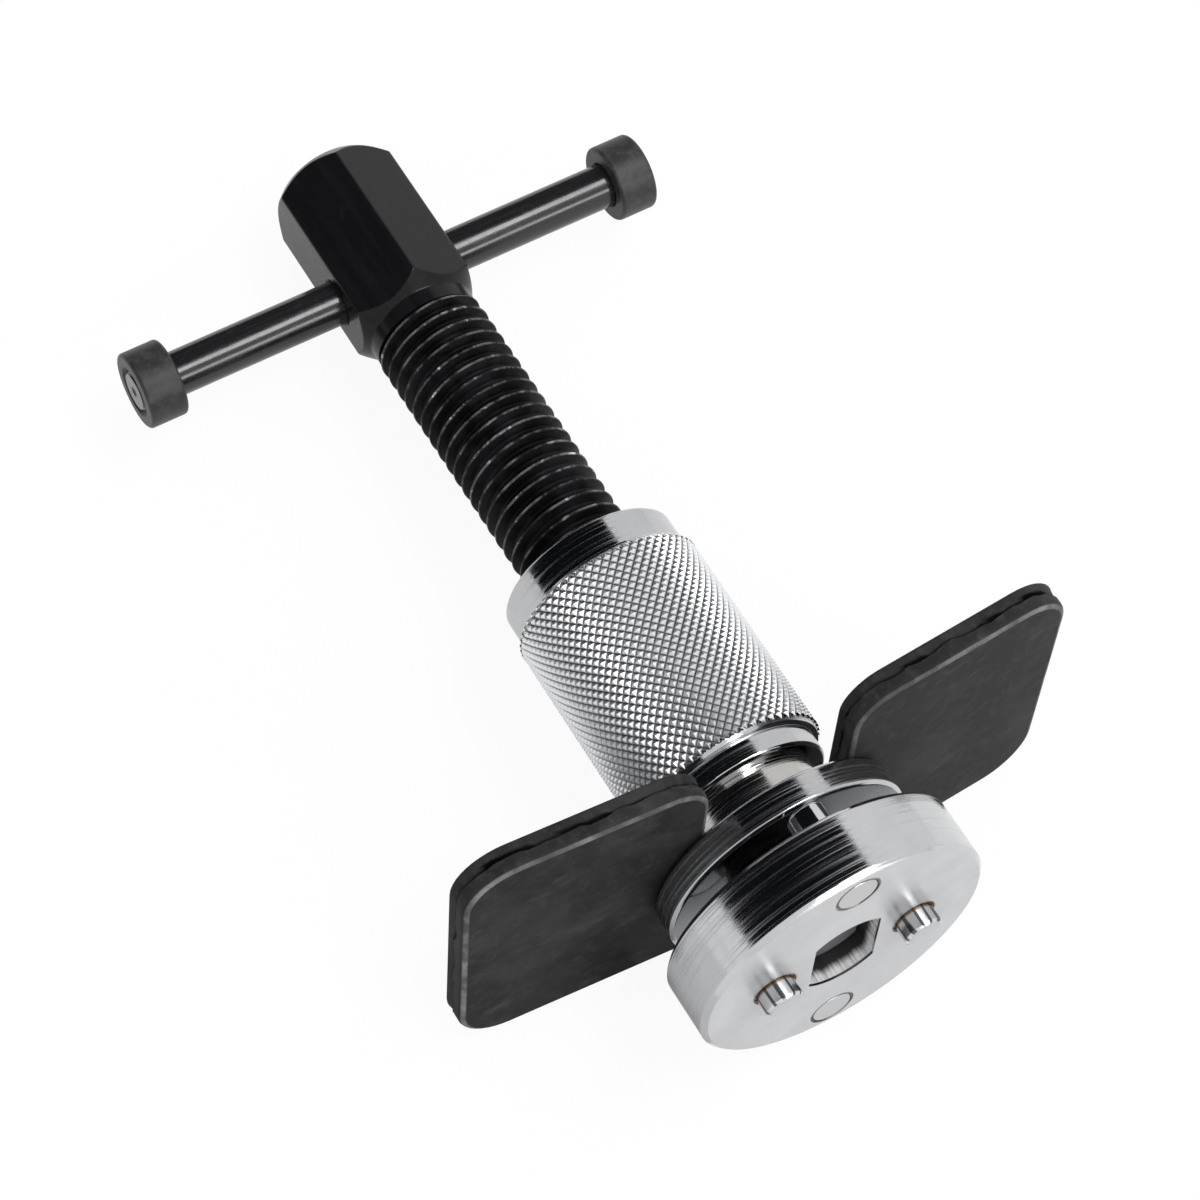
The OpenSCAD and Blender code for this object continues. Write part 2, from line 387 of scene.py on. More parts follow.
def dull_oxide(base):
    """Black oxide on the stamped plate: cloudy faces, faint rubs, a paler front rim that is a painted
    highlight, and a torn line painted near black, painted shade in its notch.
    """
    finish = Finish("dull_black_oxide")
    cloud = finish.noise(75, 5.0, 0.62)
    mottle = finish.noise(480, 5.0, 0.7)
    grit = finish.noise(2400, 3.0, 0.6)
    rubs = finish.noise(1.0, 4.0, 0.65, (95, 60, 170), 2.1)
    rim_sheen = finish.attribute("rim_highlight")*(0.25 + 0.75*finish.noise(160, 4.0, 0.6, seed=5.2).step(0.4, 0.7))
    torn = finish.attribute("torn_line")
    tone = finish.mix(cloud.step(0.36, 0.68), shade(base, 0.7), shade(base, 1.3))
    tone = finish.mix(mottle.step(0.46, 0.74)*0.5, tone, shade(base, 2.0))
    tone = finish.mix(rubs.step(0.54, 0.78)*0.5, tone, (0.075, 0.075, 0.078))
    # Painted highlight: the rolled front rim is painted paler
    tone = finish.mix(rim_sheen, tone, (0.2, 0.2, 0.203))
    # Painted shade: the torn line is painted near black, the shade in its notch
    tone = finish.mix(torn, tone, (0.001, 0.001, 0.001))
    rough = 0.44 + (cloud - 0.5)*0.2 + (mottle - 0.5)*0.22
    height = mottle*0.9 + grit*0.5
    return finish.coated(tone, rough, height, 0.4, 0.06*MM, {"Specular IOR Level": 0.02})


def turning_marks(finish, base):
    """What the nut and the disc share: the plating's tone, and coarse and fine lines round the axis."""
    lines = finish.noise(1.0, 3.0, 0.6, (30, 4600, 30)).step(0.42, 0.68)
    fine = finish.noise(1.0, 3.0, 0.6, (60, 9000, 60), 0.9)
    blotch = finish.noise(190, 4.0, 0.6)
    speck = finish.noise(1500, 3.0, 0.6)
    tone = finish.mix(blotch.step(0.3, 0.75), shade(base, 0.96), shade(base, 1.03))
    tone = finish.mix(speck.step(0.66, 0.84)*0.3, tone, shade(base, 0.62))
    return tone, lines, fine, blotch


def plated_nut(base, groove, knurl, valley):
    """Bright plating over turning marks, with a warm tint in the groove, the knurl painted brighter as a
    painted sheen, and its valleys painted dark, painted shade along with dirt.

    The groove and the knurl are given by their two ends along the axis.
    """
    finish = Finish("plated_nut_turning")
    tone, lines, fine, blotch = turning_marks(finish, base)
    in_groove = finish.between(*groove, 0.3*MM)
    in_knurl = finish.between(*knurl, 0.2*MM)
    deep = 1 - finish.radius().step(valley + 0.02*MM, valley + 0.2*MM)
    tone = finish.mix(in_groove*0.3, tone, (0.5, 0.45, 0.36))
    # Painted sheen: the knurl's plating is painted brighter than the same plating elsewhere
    tone = finish.mix(in_knurl, tone, shade(base, 1.68))
    # Painted shade with dirt: the knurl's valleys are painted dark
    tone = finish.mix(in_knurl*deep*0.8, tone, (0.05, 0.05, 0.054))
    rough = 0.07 + (1 - in_knurl)*lines*0.26 + (fine - 0.5)*0.06 + (blotch - 0.5)*0.04 + in_knurl*0.31
    height = (1 - in_knurl)*(lines*0.4 + fine*0.5)
    return finish.coated(tone, rough, height, 0.25, 0.03*MM, {"Metallic": 1.0})


def plated_disc(base, pins, stain, socket):
    """Bright plating over turning marks: a ground face, stains round the pins and a broached socket whose
    wall is painted pale, a painted reflection, and painted near black deeper in, painted shade.

    The pins are given by x and z, the socket by its radius.
    """
    finish = Finish("plated_disc_turning")
    tone, lines, fine, blotch = turning_marks(finish, base)
    smudge = finish.noise(70, 4.0, 0.6, seed=4.4)
    ground = 1 - finish.y.step(0.05*MM, 0.15*MM)
    inside = finish.y.step(0.3*MM, 0.5*MM)*(1 - finish.radius().step(socket + 0.02*MM, socket + 0.1*MM))
    broached = finish.noise(1.0, 3.0, 0.6, (1500, 90, 1500), 6.3)
    tone = finish.mix(ground*smudge.step(0.4, 0.7)*0.6, tone, shade(base, 0.84))
    arcs = 0.5 + 0.5*finish.noise(230, 2.0, 0.5, seed=7.5).step(0.36, 0.58)
    cloud = 0.21 + 0.49*finish.noise(900, 3.0, 0.6, seed=2.2)
    dull = 0.0
    # The drive pins, at z = 0, have the stain over the dirt and a duller face round them
    for x, z in pins:
        ring = abs(finish.radius(x, z) - SHANK)
        width = 0.34*MM if z else 0.2*MM
        seam = ((1 - ring.step(width, width + 0.14*MM))*arcs, SEAM_DIRT)
        halo = ((1 - ring.step(0.1*MM, 0.55*MM))*cloud, stain)
        for factor, layer in (halo, seam) if z else (seam, halo):
            tone = finish.mix(factor, tone, layer)
        if not z:
            dull = dull + (1 - ring.step(1.5*MM, 5*MM))
    # Painted reflection: the socket's wall is painted pale over its broached streaks, and made less metallic
    wall = finish.mix(broached.step(0.42, 0.78), (0.86, 0.86, 0.87), (0.32, 0.32, 0.33))
    # Painted shade: the socket is painted near black from about a millimetre past the face
    socket_shade = (finish.y + (broached - 0.5)*1.6*MM).step(1.1*MM, 2.5*MM)
    tone = finish.mix(inside, tone, finish.mix(socket_shade, wall, (0.02, 0.02, 0.021)))
    marked = (1 - ground)*(1 - inside)
    rough = 0.07 + lines*marked*0.26 + (fine - 0.5)*0.06 + (blotch - 0.5)*0.04 + inside*0.3
    rough = rough + ground*(0.26 + dull*0.16)
    height = lines*marked*0.4 + fine*0.5
    return finish.coated(tone, rough, height, 0.25, 0.03*MM, {"Metallic": 1 - inside*0.8})


def plated_pins(base, stain, tip, span):
    """Bright plating on the pins. The two that drive have dark streaks up to the tip and a brown foot.

    The tip is a place along the axis, and the span is the drive pins' distance from the axis.
    """
    finish = Finish("plated_pin_streaks")
    streaks_round = 11
    wander = 9
    waver = finish.noise(1.0, 2.0, 0.5, (420, 30, 420), 1.7)
    across = abs(finish.x) - span
    turn = across.math("ARCTAN2", across, finish.z)
    streaks = turn.math("SINE", turn*streaks_round + waver*wander)
    fine = finish.noise(1.0, 3.0, 0.6, (5200, 200, 5200))
    blotch = finish.noise(800, 3.0, 0.6)
    driving = 1 - abs(finish.z).step(5*MM, 6*MM)
    side = finish.y.step(tip + 0.1*MM, tip + 0.3*MM)
    stud = side*(1 - finish.y.step(0.2*MM, 0.6*MM))
    flush = (1 - driving)*(1 - finish.y.step(0.03*MM, 0.08*MM))
    seam = (1 - driving)*finish.between(0.03*MM, 0.4*MM, 0.06*MM)
    foot = finish.between(-0.55*MM, 0.4*MM, 0.35*MM)*driving*(0.4 + 0.6*blotch)
    tone = finish.mix(streaks.step(0.3, 0.6)*stud*driving*0.9, base, (0.05, 0.05, 0.052))
    tone = finish.mix(flush + (1 - side)*driving, tone, shade(base, 0.82))
    tone = finish.mix(seam*(0.5 + 0.5*blotch), tone, SEAM_DIRT)
    tone = finish.mix(foot, tone, stain)
    rough = 0.1 + (fine - 0.5)*0.12 + foot*0.2 + flush*0.24
    rough = rough + driving*((1 - side)*0.2 + stud*0.14)
    height = (streaks*0.2 + fine*0.3)*stud
    return finish.coated(tone, rough, height, 0.3, 0.05*MM, {"Metallic": 1.0})


# Modelling

def whole(bm):
    """All that a bmesh holds."""
    return bm.verts[:] + bm.edges[:] + bm.faces[:]


def verts_in(made):
    """The vertices among what an operator made."""
    return [item for item in made if isinstance(item, bmesh.types.BMVert)]


def line_through(bm, points):
    """A line of edges through points. Gives its vertices and edges."""
    verts = [bm.verts.new(point) for point in points]
    return verts, [bm.edges.new(pair) for pair in zip(verts, verts[1:])]


def merge(bm, distance=MERGE):
    """Joins vertices that lie in one place."""
    bmesh.ops.remove_doubles(bm, verts=bm.verts[:], dist=distance)


def face_outwards(bm):
    """Points all faces outwards."""
    bmesh.ops.recalc_face_normals(bm, faces=bm.faces[:])


def turned(profile, centre=ORIGIN, axis=AXIS, closed=False, steps=64):
    """A new bmesh: points of radius and place along the axis, spun about a line through centre."""
    bm = bmesh.new()
    side = Vector((0, 0, 1))
    points, edges = line_through(bm, [centre + side*radius + axis*along for radius, along in profile])
    if closed:
        edges.append(bm.edges.new((points[-1], points[0])))
    bmesh.ops.spin(bm, geom=points + edges, cent=centre, axis=axis, angle=FULL_TURN, steps=steps,
                   use_merge=True)
    merge(bm)
    face_outwards(bm)
    return bm


def soften(bm, edges, width, segments=3):
    """Rounds edges."""
    bmesh.ops.bevel(bm, geom=edges, offset=width, offset_type="OFFSET", affect="EDGES", segments=segments,
                    profile=0.5, material=-1, clamp_overlap=True)


def sharp_edges(bm):
    """The edges where two faces meet at a clear angle."""
    return [edge for edge in bm.edges if edge.is_manifold and edge.calc_face_angle() > EDGE_ANGLE]


def round_the_axis(edge):
    """Whether both ends of an edge are at one place along the tool's axis."""
    return abs(edge.verts[0].co.y - edge.verts[1].co.y) < MERGE


def radial(point):
    """Distance of a point from the tool's axis."""
    return math.hypot(point.x, point.z)


def on_ring(point, radius, along):
    """A point moved to a radius and to a place along the tool's axis, at the angle that it has."""
    share = radius/radial(point)
    return Vector((point.x*share, along, point.z*share))


def extrude_ring(bm, edges, place):
    """Extrudes a ring of edges and moves each new vertex to place(its point). Gives the new ring."""
    made = bmesh.ops.extrude_edge_only(bm, edges=edges)["geom"]
    fresh = set(verts_in(made))
    for vert in fresh:
        vert.co = place(vert.co)
    return [item for item in made if isinstance(item, bmesh.types.BMEdge) and fresh.issuperset(item.verts)]


def cut_away(bm, point, normal):
    """Takes away what lies beyond a plane and closes the cut."""
    bmesh.ops.bisect_plane(bm, geom=whole(bm), dist=MERGE, plane_co=point, plane_no=normal, clear_outer=True)
    rim = [edge for edge in bm.edges if edge.is_boundary
           and all(abs((vert.co - point).dot(normal)) < 10*MERGE for vert in edge.verts)]
    bmesh.ops.edgeloop_fill(bm, edges=rim)


def add_object(name, bm):
    """An object in the scene from a bmesh, which is freed."""
    mesh = bpy.data.meshes.new(name)
    bm.to_mesh(mesh)
    bm.free()
    made = bpy.data.objects.new(name, mesh)
    bpy.context.scene.collection.objects.link(made)
    return made


def combined(bm, tool, operation):
    """The union or difference of two closed shapes, as a new bmesh."""
    base = add_object("base_shape", bm)
    other = add_object("tool_shape", tool)
    modifier = base.modifiers.new("combine", "BOOLEAN")
    modifier.operation = operation
    modifier.solver = "EXACT"
    modifier.object = other
    result = bmesh.new()
    result.from_object(base, bpy.context.evaluated_depsgraph_get())
    for used in (base, other):
        mesh = used.data
        bpy.data.objects.remove(used)
        bpy.data.meshes.remove(mesh)
    merge(result)
    return result


def finish_piece(name, bm, material, body, node):
    """Makes the visible piece that stands for a CAD node, with its finish and the body that it rides on."""
    face_outwards(bm)
    piece = add_object(name, bm)
    piece.data.shade_smooth()
    piece.data.set_sharp_from_angle(angle=SHARP)
    piece.data.materials.append(material)
    even = piece.modifiers.new("even_shading", "WEIGHTED_NORMAL")
    even.keep_sharp = True
    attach(piece, body)
    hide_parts(node)
    return piece


# Share of the pitch and share of the depth for one turn of the thread, from root to root
THREAD_SHAPE = ((0, 0), (0.1, 0.02), (0.15, 0.1), (0.425, 0.93), (0.45, 0.985), (0.5, 1.0),
                (0.55, 0.985), (0.575, 0.93), (0.85, 0.1), (0.9, 0.02), (1, 0))
THREAD_STEPS = 60
# Height over the root at which the thread's first and last turns begin, and the slope of the last one
RUN_IN = 0.3*MM
RUN_OUT_SLOPE = 0.9
# Cuts in each side of the head's hexagon, and how far the neck reaches into the thread
HEAD_CUTS = 19
NECK_OVERLAP = 0.7*MM


def thread_shape(sizes):
    """The threaded part of the screw: one turn spun along a helix, repeated, trimmed and chamfered."""
    bm = bmesh.new()
    root = sizes.thread_radius - sizes.thread_depth
    start = sizes.shoulder - 1.5*sizes.pitch
    points, edges = line_through(bm, [(0, start + share*sizes.pitch, root + height*sizes.thread_depth)
                                      for share, height in THREAD_SHAPE])
    bmesh.ops.spin(bm, geom=points + edges, cent=ORIGIN, axis=AXIS, dvec=AXIS*(sizes.pitch/THREAD_STEPS),
                   angle=FULL_TURN, steps=THREAD_STEPS, use_merge=False)
    turn = whole(bm)
    turns = math.ceil((sizes.neck - sizes.shoulder)/sizes.pitch) + 3
    for index in range(1, turns):
        copy = bmesh.ops.duplicate(bm, geom=turn)["geom"]
        bmesh.ops.translate(bm, verts=verts_in(copy), vec=AXIS*(index*sizes.pitch))
    merge(bm)
    cut_away(bm, AXIS*sizes.shoulder, -AXIS)
    cut_away(bm, AXIS*sizes.neck, AXIS)
    for vert in bm.verts:
        limit = root + RUN_IN + min(vert.co.y - sizes.shoulder, (sizes.neck - vert.co.y)*RUN_OUT_SLOPE)
        if radial(vert.co) > limit:
            vert.co = on_ring(vert.co, limit, vert.co.y)
    face_outwards(bm)
    return bm


def head_shape(sizes):
    """The hexagonal head and the neck: a hexagon drawn out along the axis, with cones at both ends."""
    bm = bmesh.new()
    corner = SCREW_HIGH.z
    end = SCREW_HIGH.y
    end_radius = corner - sizes.end_chamfer
    near_slope = (corner - sizes.neck_radius)/sizes.near_chamfer
    bmesh.ops.create_circle(bm, cap_ends=False, radius=corner, segments=6)
    bmesh.ops.rotate(bm, verts=bm.verts[:], cent=ORIGIN, matrix=Matrix.Rotation(math.pi/2, 3, "X"))
    bmesh.ops.subdivide_edges(bm, edges=bm.edges[:], cuts=HEAD_CUTS)
    for vert in bm.verts:
        vert.co.y = sizes.head + (radial(vert.co) - sizes.neck_radius)/near_slope
    ring = bm.edges[:]
    far = extrude_ring(bm, ring, lambda p: Vector((p.x, end - (radial(p) - end_radius), p.z)))
    far = extrude_ring(bm, far, lambda p: on_ring(p, end_radius, end))
    bmesh.ops.edgeloop_fill(bm, edges=far)
    near = extrude_ring(bm, ring, lambda p: on_ring(p, sizes.neck_radius, sizes.head))
    near = extrude_ring(bm, near, lambda p: on_ring(p, sizes.neck_radius, sizes.neck - NECK_OVERLAP))
    bmesh.ops.edgeloop_fill(bm, edges=near)
    face_outwards(bm)
    edges = [edge for edge in sharp_edges(bm) if min(vert.co.y for vert in edge.verts) > sizes.head - MERGE]
    soften(bm, edges, sizes.corner_round, 2)
    return bm


def two_flat_shape(radius, flat, low, high):
    """A round bar along the axis with two flats that face left and right."""
    bm = turned(((0, low), (radius, low), (radius, high), (0, high)), steps=96)
    for side in (1, -1):
        cut_away(bm, SIDEWAYS*(side*flat), SIDEWAYS*side)
    face_outwards(bm)
    return bm


# Operators

class PISTON_TOOL_OT_thrust_screw(bpy.types.Operator):
    """Build the thrust screw with its thread, hexagonal head and two-flat nose"""
    bl_idname = "piston_tool.thrust_screw"
    bl_label = "Thrust Screw"

    def execute(self, context):
        sizes = context.scene.piston_tool_screw
        bm = combined(head_shape(sizes), thread_shape(sizes), "UNION")
        nose = two_flat_shape(sizes.nose_radius, sizes.nose_flat, SCREW_LOW.y, sizes.shoulder + MM)
        soften(nose, [edge for edge in sharp_edges(nose)
                      if max(vert.co.y for vert in edge.verts) < SCREW_LOW.y + MERGE], NOSE_BREAK)
        bm = combined(bm, nose, "UNION")
        flat = SCREW_HIGH.x
        clearance = 0.06*MM
        hole = (BAR_HIGH.z - BAR_LOW.z)/2 + clearance
        lip = 0.35*MM
        wide = hole + lip + flat
        cross_hole = turned(((0, -2*flat), (wide, -2*flat), (hole, -flat + lip), (hole, flat - lip),
                             (wide, 2*flat), (0, 2*flat)), BAR_CENTRE, SIDEWAYS)
        bm = combined(bm, cross_hole, "DIFFERENCE")
        for face in bm.faces:
            place = face.calc_center_median().y
            face.material_index = 1 if sizes.shoulder - MERGE < place < sizes.neck + MERGE else 0
        oxide = tuple(sizes.oxide)
        screw = finish_piece("threaded_thrust_screw", bm, oiled_oxide(oxide),
                             "screw_body", "thrust_screw")
        screw.data.materials.append(thread_wear_and_sheen(oxide, sizes.thread_radius))
        return {"FINISHED"}


class PISTON_TOOL_OT_handle(bpy.types.Operator):
    """Build the T-bar and its two caps"""
    bl_idname = "piston_tool.handle"
    bl_label = "T-Handle"

    def execute(self, context):
        sizes = context.scene.piston_tool_handle
        bar = BAR_HIGH.z
        half = BAR_HIGH.x
        groove = sizes.ring_groove
        mark = sizes.centre_mark
        end = ((bar, half - groove), (bar - groove*0.8, half), (mark, half), (0, half - mark*0.8))
        other_end = [(radius, -along) for radius, along in reversed(end)]
        bm = turned(other_end + list(end), BAR_CENTRE, SIDEWAYS)
        rings = [edge for edge in sharp_edges(bm) if radial(edge.verts[0].co - BAR_CENTRE) < bar
                 and abs(edge.verts[0].co.x - edge.verts[1].co.x) < MERGE]
        soften(bm, rings, BAR_BREAK, 2)
        finish_piece("cross_bar", bm, satin_oxide(tuple(sizes.bar_oxide)),
                     "bar_body", "t_bar")
        material = matt_oxide(tuple(sizes.cap_oxide))
        cap = CAP_HIGH.z
        inner = CAP_LOW.x
        outer = CAP_HIGH.x
        lip = 0.3*MM
        outline = ((bar, inner + lip), (bar + lip, inner), (cap, inner), (cap, outer),
                   (bar + groove*0.75, outer), (bar, outer - groove))

        def on_rim(vert):
            return abs(math.hypot(vert.co.y - BAR_CENTRE.y, vert.co.z) - cap) < MERGE

        for side, name, node in ((-1, "left_bar_cap", "bar_cap_left"),
                                 (1, "right_bar_cap", "bar_cap_right")):
            bm = turned([(radius, side*along) for radius, along in outline], BAR_CENTRE, SIDEWAYS,
                        closed=True, steps=72)
            rim = [edge for edge in sharp_edges(bm) if all(on_rim(vert) for vert in edge.verts)]
            soften(bm, rim, sizes.cap_round, 4)
            finish_piece(name, bm, material, "bar_body", node)
        return {"FINISHED"}


class PISTON_TOOL_OT_knurled_nut(bpy.types.Operator):
    """Build the knurled nut: diamonds from a poked grid, the rest ring by ring from the knurl's ends"""
    bl_idname = "piston_tool.knurled_nut"
    bl_label = "Knurled Nut"

    def knurl(self, bm, sizes, low, high):
        valley = sizes.knurl - sizes.knurl_depth
        rows = round((high - low)/sizes.knurl_row)
        flank = 0.5*MM
        line, edges = line_through(bm, [(0, low + (high - low)*row/rows, valley) for row in range(rows + 1)])
        bmesh.ops.spin(bm, geom=line + edges, cent=ORIGIN, axis=AXIS, angle=FULL_TURN, steps=sizes.starts,
                       use_merge=True)
        grid = [edge for edge in bm.edges if len(edge.link_faces) == 2]
        bmesh.ops.poke(bm, faces=bm.faces[:])
        bmesh.ops.dissolve_edges(bm, edges=grid, use_verts=False)
        for vert in bm.verts:
            vert.co = on_ring(vert.co, valley, vert.co.y)
        face_outwards(bm)
        bm.faces.ensure_lookup_table()
        face = bm.faces[0]
        middle = face.calc_center_median()
        if face.normal.dot(Vector((middle.x, 0, middle.z))) < 0:
            bmesh.ops.reverse_faces(bm, faces=bm.faces[:])
        bmesh.ops.inset_individual(bm, faces=bm.faces[:], thickness=flank, depth=sizes.knurl_depth,
                                   use_even_offset=True)

    def execute(self, context):
        sizes = context.scene.piston_tool_nut
        edge = sizes.edge
        low = sizes.knurl_start + edge
        high = sizes.knurl_end - edge
        bm = bmesh.new()
        self.knurl(bm, sizes, low, high)
        valley = sizes.knurl - sizes.knurl_depth
        rims = [item for item in bm.edges if item.is_boundary]
        bmesh.ops.subdivide_edges(bm, edges=rims, cuts=1)
        rims = [item for item in bm.edges if item.is_boundary]
        for vert in {vert for item in rims for vert in item.verts}:
            vert.co = on_ring(vert.co, valley, vert.co.y)
        front = [item for item in rims if item.verts[0].co.y < (low + high)/2]
        ring = [item for item in rims if item.verts[0].co.y > (low + high)/2]
        flange = NUT_HIGH.x
        start = NUT_LOW.y
        end = NUT_HIGH.y
        bore = sizes.bore
        shoulder = valley - 0.12*MM
        outline = ((shoulder, sizes.knurl_end), (sizes.collar, sizes.knurl_end), (sizes.collar, end - edge),
                   (sizes.collar - edge, end), (bore + edge, end), (bore, end - edge), (bore, start + edge),
                   (bore + edge, start), (flange - edge, start), (flange, start + edge),
                   (flange, sizes.flange_end - edge), (flange - edge, sizes.flange_end),
                   (sizes.groove, sizes.flange_end), (sizes.groove, sizes.groove_end),
                   (sizes.ring - edge, sizes.groove_end), (sizes.ring, sizes.groove_end + edge),
                   (sizes.ring, sizes.knurl_start), (shoulder, sizes.knurl_start))
        for radius, along in outline:
            ring = extrude_ring(bm, ring, lambda p, r=radius, a=along: on_ring(p, r, a))
        bmesh.ops.bridge_loops(bm, edges=ring + front)
        face_outwards(bm)
        plain = [item for item in sharp_edges(bm)
                 if round_the_axis(item) and not low - MERGE < item.verts[0].co.y < high + MERGE]
        soften(bm, plain, NUT_BREAK, 2)
        groove = (sizes.flange_end, sizes.groove_end)
        material = plated_nut(tuple(sizes.plating), groove, (low, high), valley)
        finish_piece("diamond_knurled_nut", bm, material, "nut_body", "knurled_nut")
        return {"FINISHED"}


class PISTON_TOOL_OT_reaction_plate(bpy.types.Operator):
    """Build the reaction plate: stamped outline, rolled front rim, torn edge and swept wings"""
    bl_idname = "piston_tool.reaction_plate"
    bl_label = "Reaction Plate"

    def execute(self, context):
        sizes = context.scene.piston_tool_plate
        half = PLATE_HIGH.x
        up = PLATE_HIGH.z
        down = PLATE_LOW.z
        slot = sizes.slot
        front = PLATE_LOW.y
        corner_segments = 10
        outline_step = 1.3*MM
        # A hair under half the slot's width, so that the bevels of its two end corners stay apart
        slot_end = slot*0.999
        corners = ((-half, down, sizes.corner), (half, down, sizes.corner), (half, up, sizes.corner),
                   (slot, up, sizes.mouth), (slot, -slot, slot_end), (-slot, -slot, slot_end),
                   (-slot, up, sizes.mouth), (-half, up, sizes.corner))
        bm = bmesh.new()
        verts = [bm.verts.new((x, front, z)) for x, z, _ in corners]
        bm.faces.new(verts)
        for vert, (_, _, radius) in zip(verts, corners):
            bmesh.ops.bevel(bm, geom=[vert], offset=radius, offset_type="OFFSET", affect="VERTICES",
                            segments=corner_segments, profile=0.5, material=-1)
        merge(bm, 0.05*MM)
        for edge in bm.edges[:]:
            cuts = int(edge.calc_length()/outline_step)
            if cuts:
                bmesh.ops.subdivide_edges(bm, edges=[edge], cuts=cuts)
        made = bmesh.ops.extrude_face_region(bm, geom=bm.faces[:])["geom"]
        bmesh.ops.translate(bm, verts=verts_in(made), vec=AXIS*sizes.thickness)
        face_outwards(bm)
        self.shape_edges(bm, sizes, front)
        self.bend_wings(bm, sizes)
        finish_piece("stamped_reaction_plate", bm, dull_oxide(tuple(sizes.oxide)),
                     "plate_body", "reaction_plate")
        return {"FINISHED"}

    def shape_edges(self, bm, sizes, front):
        """Rolls both rims, then cuts the wall into rings, the back ones torn and set in on a wavy line."""
        back = front + sizes.thickness
        for place, width, segments in ((front, sizes.front_roll, 6), (back, sizes.back_roll, 3)):
            rim = [edge for edge in sharp_edges(bm)
                   if all(abs(vert.co.y - place) < MERGE for vert in edge.verts)]
            soften(bm, rim, width, segments)
        low = front + sizes.front_roll
        high = back - sizes.back_roll
        rim_highlight = bm.verts.layers.float.new("rim_highlight")
        torn_line = bm.verts.layers.float.new("torn_line")
        # Marks the rolled front rim for its painted highlight
        for vert in bm.verts:
            if front + 0.03*MM < vert.co.y < front + 0.45*sizes.front_roll:
                vert[rim_highlight] = 1.0
        walls = [edge for edge in bm.edges
                 if abs(edge.verts[0].co.y - edge.verts[1].co.y) > (high - low)*0.9]
        cuts = 7
        smooth_rows = 3
        step_back = 0.12*MM
        set_in = (1.0, 0.5, 0.35, 0.2)
        bmesh.ops.subdivide_edges(bm, edges=walls, cuts=cuts, use_grid_fill=True)
        bm.normal_update()
        moves = []
        for vert in bm.verts:
            depth = (vert.co.y - low)/(high - low)
            if not 0.02 < depth < 0.98:
                continue
            row = round(depth*(cuts + 1))
            wave = noise.noise(vert.co*230)*0.55 + noise.noise(vert.co*720)*0.3
            line = low + (high - low)*(0.42 + 0.4*wave)
            outward = Vector((vert.normal.x, 0, vert.normal.z)).normalized()
            rough = noise.noise(vert.co*1500 + Vector((5, 5, 5)))*0.06*MM
            patch = noise.noise(Vector((vert.co.x, 0, vert.co.z))*160 + Vector((9, 9, 9)))
            if row <= smooth_rows:
                moves.append((vert, Vector((vert.co.x, low + (line - low)*row/smooth_rows, vert.co.z))))
            else:
                torn_row = row - smooth_rows - 1
                step = torn_row/(cuts - smooth_rows)
                along = line + step_back + (high - line - step_back)*step
                inward = sizes.tear*set_in[torn_row] + rough
                # The first rows of the torn line are marked for their painted shade
                vert[torn_line] = 1.0 if torn_row == 0 or torn_row == 1 and patch > 0.1 else 0.0
                moves.append((vert, Vector((vert.co.x, along, vert.co.z)) - outward*inward))
        for vert, place in moves:
            vert.co = place

    def bend_wings(self, bm, sizes):
        """Leans both wings back, with a few cuts across each bend so that it turns in a small radius."""
        spread = 2*MM
        for side in (-1, 1):
            for offset in (-spread, -spread/2, 0, spread/2, spread):
                bmesh.ops.bisect_plane(bm, geom=whole(bm), dist=MERGE,
                                       plane_co=SIDEWAYS*(side*(sizes.bend + offset)), plane_no=SIDEWAYS)
        slope = math.tan(sizes.sweep)
        for vert in bm.verts:
            beyond = abs(vert.co.x) - sizes.bend
            if beyond > spread:
                vert.co.y += slope*beyond
            elif beyond > -spread:
                vert.co.y += slope*(beyond + spread)**2/(4*spread)


